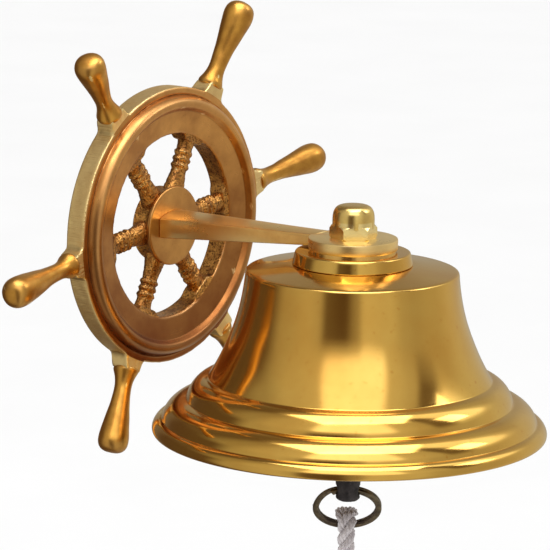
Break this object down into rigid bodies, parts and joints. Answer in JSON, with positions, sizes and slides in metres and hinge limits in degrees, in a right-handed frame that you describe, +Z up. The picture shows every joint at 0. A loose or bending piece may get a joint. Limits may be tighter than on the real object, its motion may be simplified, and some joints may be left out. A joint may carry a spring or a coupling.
{
  "type": "wall-mounted ship bell",
  "caption": "Flared brass ship bell hung by a tapered arm from a ship's wheel wall bracket, with an iron clapper, a split ring and a rope lanyard.",
  "frame": {"origin": "centre of the wheel's flat back, on the wall", "axes": "+Z up, -Y out from the wall towards the bell, +X to the right as seen from the room"},
  "size_m": [0.1972, 0.1727, 0.3428],
  "materials": {
    "bell_brass": "polished, with fine turning marks",
    "nut_brass": "polished",
    "arm_brass": "satin",
    "wheel_brass": "satin, aged brown",
    "cast_brass": "rough as cast",
    "handle_brass": "buffed",
    "hanger_brass": "dull",
    "screw_steel": "satin",
    "link_steel": "satin",
    "ring_steel": "darkened",
    "black_iron": "rough black",
    "cotton_rope": "soft laid cotton",
    "seizing_twine": "waxed twine"
  },
  "bodies": {
    "bracket": {"wheel_rim": "wheel_brass", "wheel_hub": "wheel_brass", "spoke_1": "cast_brass", "spoke_2": "cast_brass", "spoke_3": "cast_brass", "spoke_4": "cast_brass", "spoke_5": "cast_brass", "spoke_6": "cast_brass", "handle_1": "handle_brass", "handle_2": "handle_brass", "handle_3": "handle_brass", "handle_4": "handle_brass", "handle_5": "handle_brass", "handle_6": "handle_brass", "bracket_arm": "arm_brass", "arm_screw": "screw_steel", "bell_body": "bell_brass", "crown_collar": "bell_brass", "crown_washer": "bell_brass", "acorn_nut": "nut_brass", "hanger_bolt": "hanger_brass"},
    "shackle_link": {"shackle": "link_steel", "shackle_pin": "link_steel"},
    "clapper": {"clapper_rod": "black_iron", "clapper_ball": "black_iron"},
    "ring": {"split_ring": "ring_steel"},
    "lanyard": {"lanyard_rope": "cotton_rope", "lanyard_seizing": "seizing_twine", "lanyard_knot": "cotton_rope", "lanyard_tassel": "cotton_rope"}
  },
  "joints": [
    {"name": "shackle_rock", "type": "hinge", "parent": "bracket", "child": "shackle_link", "pos_m": [0, -0.0965, -0.01707], "axis": [0.7986, 0.6018, 0], "range_deg": [-10, 10]},
    {"name": "clapper_swing", "type": "hinge", "parent": "shackle_link", "child": "clapper", "pos_m": [0, -0.0965, -0.0226], "axis": [0.6018, -0.7986, 0], "range_deg": [-47, 36]},
    {"name": "ring_swing", "type": "hinge", "parent": "clapper", "child": "ring", "pos_m": [0, -0.0965, -0.0929], "axis": [-0.6018, 0.7986, 0], "range_deg": [-3, 42]},
    {"name": "lanyard_swing", "type": "hinge", "parent": "ring", "child": "lanyard", "pos_m": [0.01263, -0.08699, -0.11109], "axis": [0.6018, -0.7986, 0], "range_deg": [-20, 50]}
  ]
}
